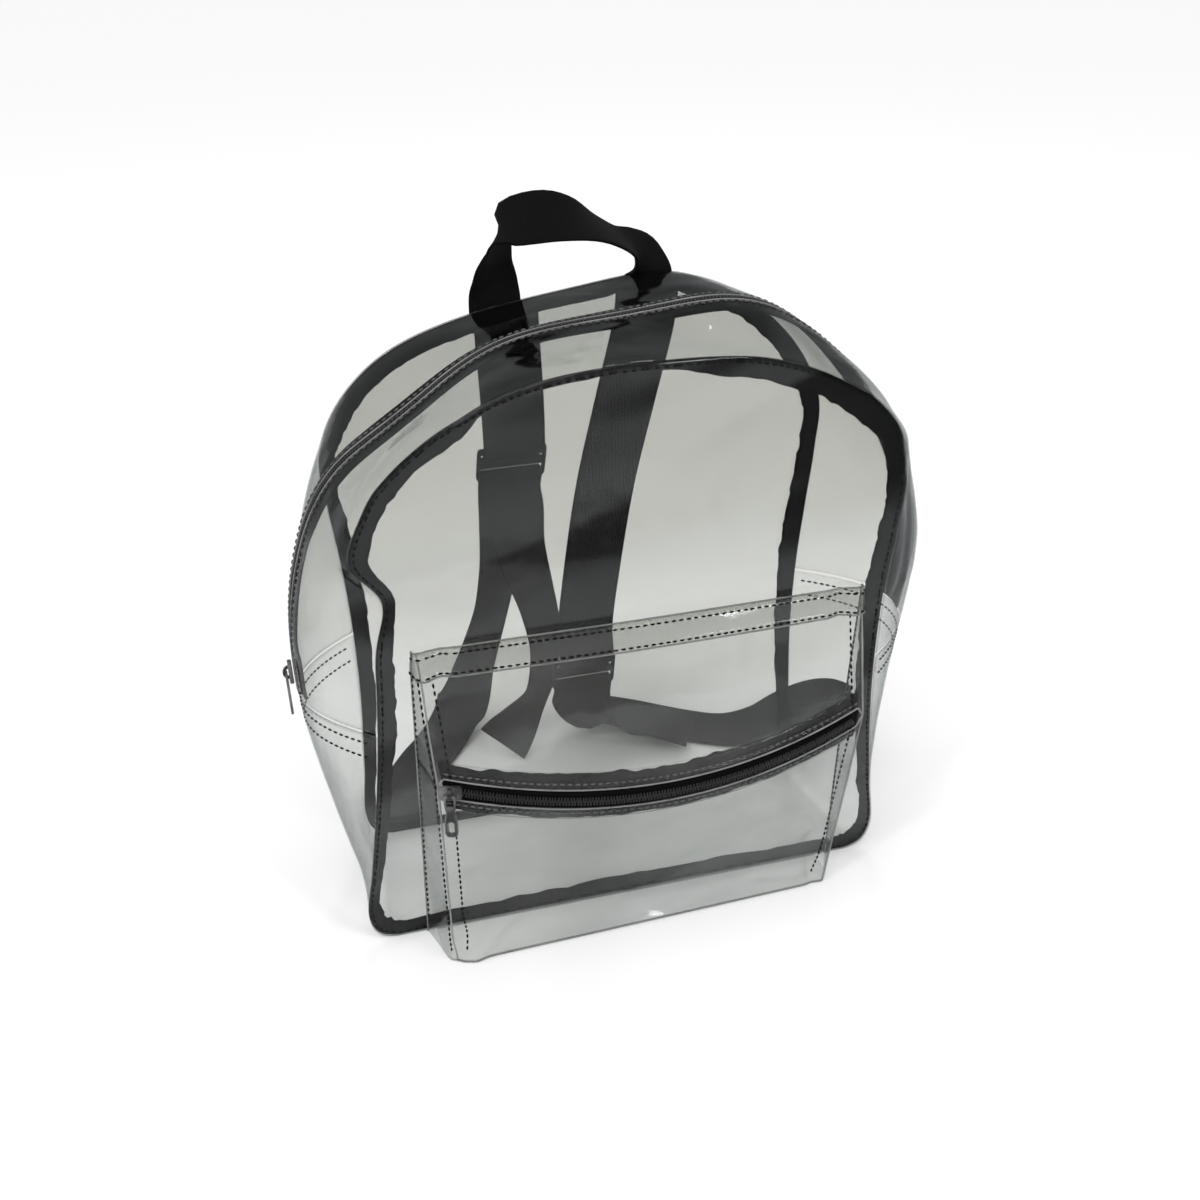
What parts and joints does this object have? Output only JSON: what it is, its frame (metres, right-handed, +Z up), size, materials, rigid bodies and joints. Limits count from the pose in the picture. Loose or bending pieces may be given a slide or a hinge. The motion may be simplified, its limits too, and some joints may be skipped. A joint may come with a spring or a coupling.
{
  "type": "clear backpack",
  "caption": "Clear sheet backpack with bound arched panels, an arched main zip, a boxed zip pocket in front, a carrying handle and webbing shoulder straps with adjusters.",
  "frame": {"origin": "middle of the base between the front and back seams, on the surface that the bag stands on", "axes": "+X to the right as seen from the front, -Y out of the front pocket, +Z up towards the carrying handle"},
  "size_m": [0.3955, 0.2955, 0.4095],
  "materials": {
    "clear_pvc": "clear soft sheet, slightly hazy, with soft creases",
    "seam_tape": "black woven tape",
    "zipper_coil": "black coil teeth",
    "webbing": "black ribbed webbing",
    "adjuster_plastic": "black moulded plastic",
    "slider_metal": "black painted metal with light wear"
  },
  "bodies": {
    "bag": {"front_panel": "clear_pvc", "back_panel": "clear_pvc", "base_gusset": "clear_pvc", "left_side_gusset": "clear_pvc", "right_side_gusset": "clear_pvc", "upper_gusset_front": "clear_pvc", "upper_gusset_back": "clear_pvc", "pocket_body": "clear_pvc", "pocket_flap": "clear_pvc", "front_binding": "seam_tape", "back_binding": "seam_tape", "main_zipper_tape": "seam_tape", "pocket_zipper_tape": "seam_tape", "main_zipper_coil": "zipper_coil", "pocket_zipper_coil": "zipper_coil", "handle": "webbing", "left_shoulder_strap": "webbing", "left_lower_strap": "webbing", "right_shoulder_strap": "webbing", "right_lower_strap": "webbing", "left_adjuster": "adjuster_plastic", "right_adjuster": "adjuster_plastic", "main_slider": "slider_metal", "pocket_slider": "slider_metal"},
    "main_pull": {"main_pull": "slider_metal"},
    "pocket_pull": {"pocket_pull": "slider_metal"}
  },
  "joints": [
    {"name": "main_pull_swing", "type": "hinge", "parent": "bag", "child": "main_pull", "pos_m": [-0.18898, -0.00552, 0.16462], "axis": [0.0127, 0.9999, 0], "range_deg": [0, 170]},
    {"name": "pocket_pull_swing", "type": "hinge", "parent": "bag", "child": "pocket_pull", "pos_m": [-0.11622, -0.10216, 0.13044], "axis": [-0.9594, 0.2821, 0], "range_deg": [0, 170]}
  ]
}
